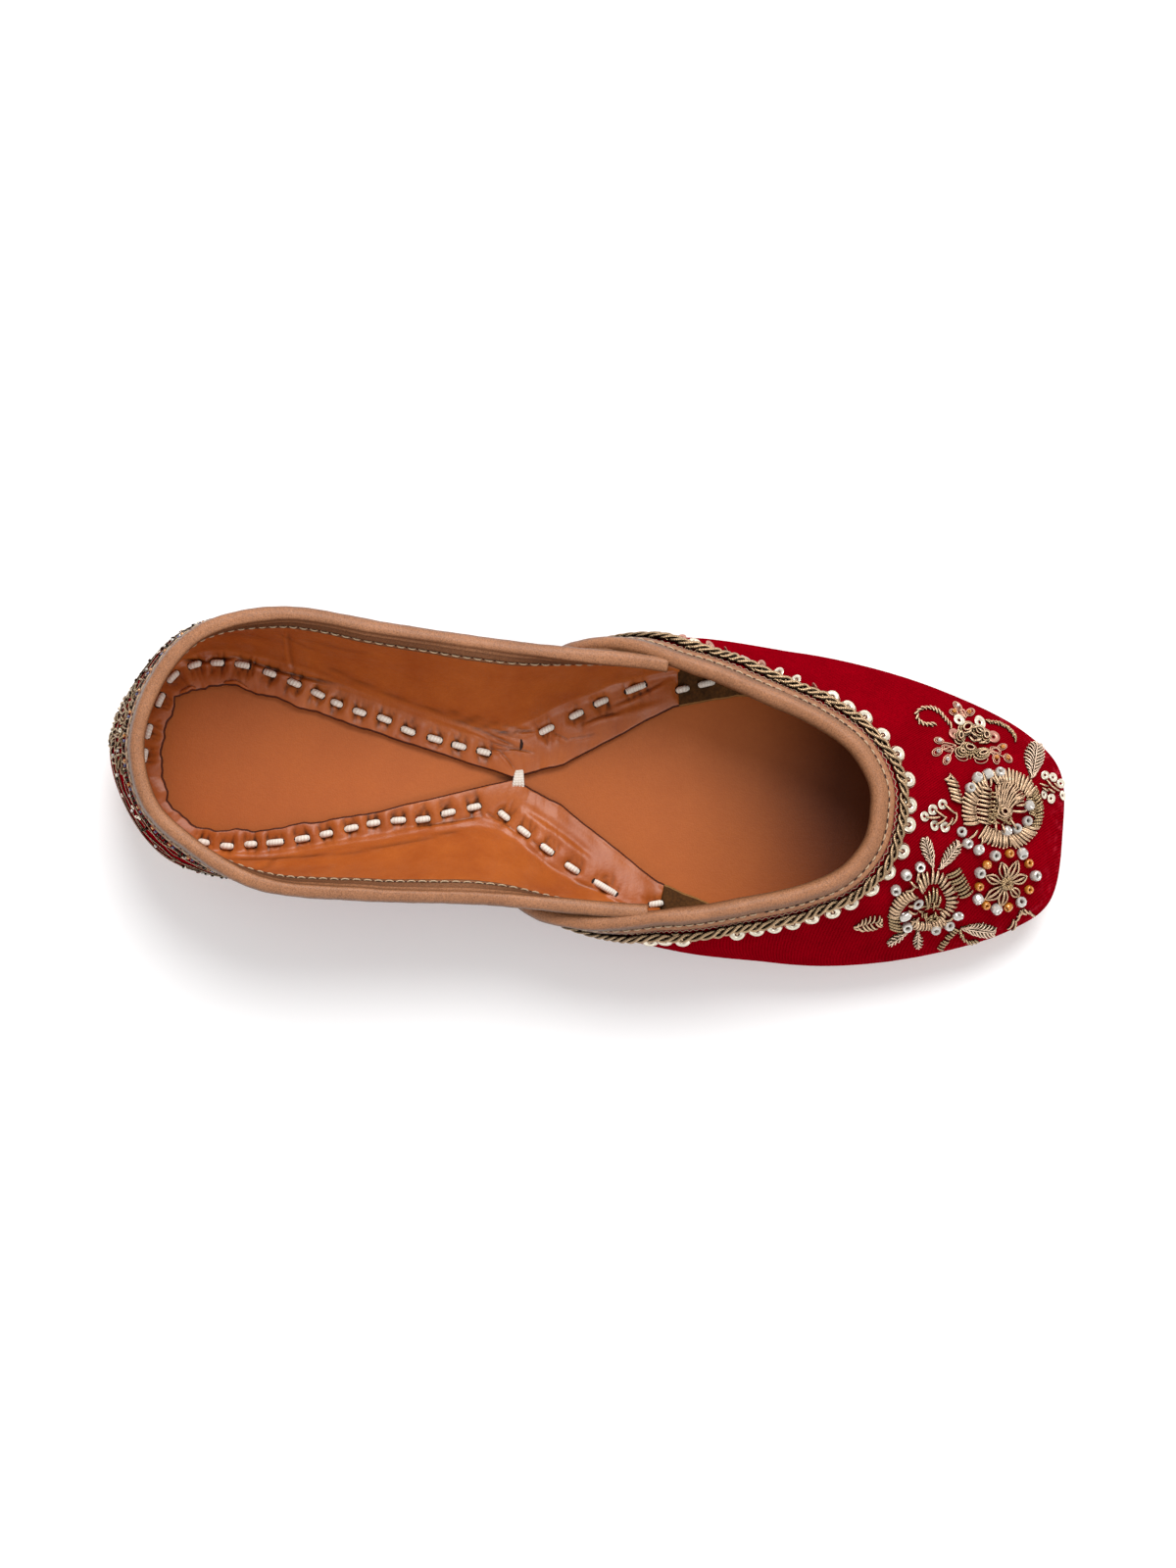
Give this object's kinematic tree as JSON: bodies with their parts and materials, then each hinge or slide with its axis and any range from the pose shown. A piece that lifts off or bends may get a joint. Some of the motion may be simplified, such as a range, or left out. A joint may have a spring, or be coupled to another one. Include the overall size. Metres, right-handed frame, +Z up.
{
  "type": "mojari shoe",
  "caption": "Flat slip-on mojari of red velvet with tan leather bindings, leather footbed and sole, and gold metal-thread embroidery on the toe and heel.",
  "frame": {"origin": "on the floor, at the heel_rest mount under the middle of the heel", "axes": "+X to the toe, +Y to the wearer's left, which is the outer side of this left shoe, +Z up"},
  "size_m": [0.2519, 0.0832, 0.051],
  "materials": {
    "sole_leather": "plain vegetable-tanned sole leather",
    "footbed_leather": "smooth orange-tan leather, slightly glossy",
    "velvet": "red velvet with short pile",
    "lining_leather": "smooth orange-tan lining leather with soft creases",
    "binding_leather": "grained tan leather, satin",
    "white_thread": "thick off-white hand-stitching thread",
    "gold_thread": "dull gold metal thread and coiled wire",
    "sequins": "cupped gold sequins, shiny",
    "beads": "clear and amber glass seed beads"
  },
  "bodies": {
    "root": {"outsole": "sole_leather", "insole": "footbed_leather", "upper": "velvet", "collar_binding": "binding_leather", "throat_binding": "binding_leather"}
  },
  "joints": []
}
